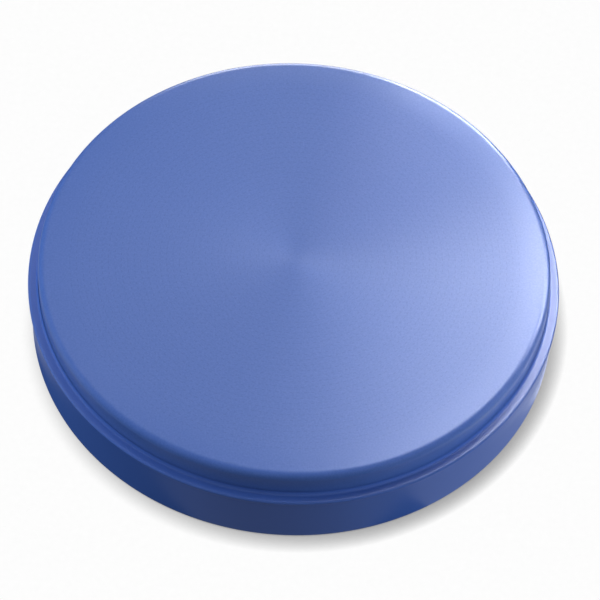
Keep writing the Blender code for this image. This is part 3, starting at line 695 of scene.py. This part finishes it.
stageSize = {"fill": 0.22, "floor": 6.0, "drop": 0.1 * mm, "shadowReach": 7 * mm,
             "shadowSide": (-0.62, 0.55, 0.55), "coveredReach": 24 * mm, "coveredShare": 0.35}
view = {"elevation": 55.06, "distance": 1.26, "lens": 197.5, "roll": 3.1,
        "aim": (2.7 * mm, 4.8 * mm, 3.3 * mm)}
lights = [
    # name, position, size, power in watts, and whether it shows in matt light and in gloss
    ("keyBack", (-0.70, 0.60, 1.36), 0.8, 8.0, True, False),
    ("keyFar", (0.0, 0.85, 1.36), 0.8, 4.6, True, False),
    ("rightLow", (1.57, -0.1, 0.17), 0.8, 17.0, True, False),
    ("leftLow", (-1.57, 0.0, 0.33), 0.8, 12.0, True, False),
    ("frontRightLow", (1.11, -1.11, 0.33), 0.8, 3.2, True, False),
    ("sheen", (0.12, 0.16, 0.38), 0.12, 0.42, False, True),
    ("sheenWide", (0.15, 0.12, 0.50), 0.2, 1.05, False, True),
    ("sheenHigh", (0.20, 0.28, 0.38), 0.12, 1.35, False, True),
    ("sheenLow", (0.12, 0.28, 0.12), 0.12, 1.3, False, True),
    ("sheenRight", (0.32, 0.16, 0.22), 0.16, 1.7, False, True),
    ("farEdge", (0.0, 1.57, 0.33), 0.8, 24.0, False, True),
]
cards = [  # pale cards lying beside the object, mirrored in its skirt: place, size and power
    ("cardRight", (0.175, -0.045, -0.002), 0.16, 0.11),
    ("cardRightWide", (0.15, -0.06, -0.002), 0.19, 0.045),
    ("cardLeft", (-0.175, -0.02, -0.002), 0.15, 0.03),
    ("cardFront", (-0.05, -0.20, -0.002), 0.21, 0.03),
]


def makeFloor():
    shape = bmesh.new()
    bmesh.ops.create_grid(shape, x_segments=1, y_segments=1, size=stageSize["floor"] / 2)
    mesh = meshFrom(shape, "floor")
    mesh.transform(Matrix.Translation((0, 0, -stageSize["drop"])))
    floor = bpy.data.objects.new("floor", mesh)
    bpy.context.scene.collection.objects.link(floor)
    # a white table that glows evenly, with a painted shadow: the glow dims softly beside the object on the
    # side away from the lamps, and where the object covers the floor
    material, tree, shader = newMaterial("whitePaper", {"Roughness": 1.0, "Specular IOR Level": 0.0,
                                                        "Emission Strength": 1.0, "Base Color": (0, 0, 0, 1)})
    coords = addNode(tree, "ShaderNodeTexCoord").outputs["Object"]
    fibre = addNode(tree, "ShaderNodeTexNoise", {"Vector": coords, "Scale": 400.0, "Detail": 2.0})
    side = addNode(tree, "ShaderNodeCombineXYZ", dict(zip("XYZ", stageSize["shadowSide"])))
    # painted shadow: ambient occlusion tilted to one side darkens the glow beside the object, and an upward
    # one darkens it under the object
    paintedSideShadow = addNode(tree, "ShaderNodeAmbientOcclusion", {"Distance": stageSize["shadowReach"],
                                                          "Normal": side.outputs[0]}, samples=12)
    paintedUnderShadow = addNode(tree, "ShaderNodeAmbientOcclusion", {"Distance": stageSize["coveredReach"]}, samples=12)
    paintedUnderShadowRamp = addNode(tree, "ShaderNodeMapRange", {"Value": paintedUnderShadow.outputs["AO"],
                                                   "From Max": stageSize["coveredShare"]})
    paintedShadowFactor = addNode(tree, "ShaderNodeMath", {0: paintedSideShadow.outputs["AO"], 1: paintedUnderShadowRamp.outputs[0]},
                  operation="MULTIPLY")
    paper = addNode(tree, "ShaderNodeMix", {"Factor": fibre.outputs["Fac"], 6: linear("#FBFBFB"),
                                            7: linear("#FFFFFF")}, data_type="RGBA")
    # painted shadow: the paper colour fades to dark grey where the floor is occluded
    colour = addNode(tree, "ShaderNodeMix", {"Factor": paintedShadowFactor.outputs[0], 6: linear("#3A3A3E"),
                                             7: paper.outputs[2]}, data_type="RGBA")
    tree.links.new(colour.outputs[2], shader.inputs["Emission Color"])
    mesh.materials.append(material)
    floor.visible_diffuse = False
    floor.visible_glossy = False


def makeWorld():
    # a pale room above the horizon and a dark one below it
    world = bpy.data.worlds.new("studio")
    bpy.context.scene.world = world
    world.use_nodes = True
    tree = world.node_tree
    coords = addNode(tree, "ShaderNodeTexCoord").outputs["Generated"]
    split = addNode(tree, "ShaderNodeSeparateXYZ", {0: coords})
    rise = addNode(tree, "ShaderNodeMapRange", {"Value": split.outputs["Z"], "From Min": -0.1,
                                                "From Max": 0.1}, interpolation_type="SMOOTHSTEP")
    colour = addNode(tree, "ShaderNodeMix", {"Factor": rise.outputs[0], 6: linear("#202226"),
                                             7: linear("#FFFFFF")}, data_type="RGBA")
    background = tree.nodes["Background"]
    tree.links.new(colour.outputs[2], background.inputs["Color"])
    background.inputs["Strength"].default_value = stageSize["fill"]


def areaLight(name, position, size, power, rotation):
    lamp = bpy.data.lights.new(name, "AREA")
    lamp.size = size
    lamp.energy = power
    holder = bpy.data.objects.new(name, lamp)
    holder.location = position
    holder.rotation_euler = rotation
    bpy.context.scene.collection.objects.link(holder)
    return holder


def makeLights():
    for name, position, size, power, matt, gloss in lights:
        inward = Vector(position).to_track_quat("Z", "Y").to_euler()
        holder = areaLight(name, position, size, power, inward)
        holder.visible_diffuse = matt
        holder.visible_glossy = gloss
    for name, position, size, power in cards:
        holder = areaLight(name, position, size, power, (math.pi, 0, 0))
        holder.visible_diffuse = False
        holder.visible_camera = False


def makeCamera():
    camera = bpy.data.cameras.new("camera")
    camera.lens = view["lens"]
    camera.sensor_width = 36.0
    camera.clip_start = 0.01
    holder = bpy.data.objects.new("camera", camera)
    rise = math.radians(view["elevation"])
    aim = Vector(view["aim"])
    place = Vector((0, -math.cos(rise), math.sin(rise))) * view["distance"]
    turn = (place - aim).to_track_quat("Z", "Y").to_matrix().to_4x4()
    roll = Matrix.Rotation(math.radians(view["roll"]), 4, "Z")
    holder.matrix_world = Matrix.Translation(place) @ turn @ roll
    bpy.context.scene.collection.objects.link(holder)
    bpy.context.scene.camera = holder


makeFloor()
makeWorld()
makeLights()
makeCamera()
bpy.context.scene.view_settings.view_transform = "Standard"
print("stage set")
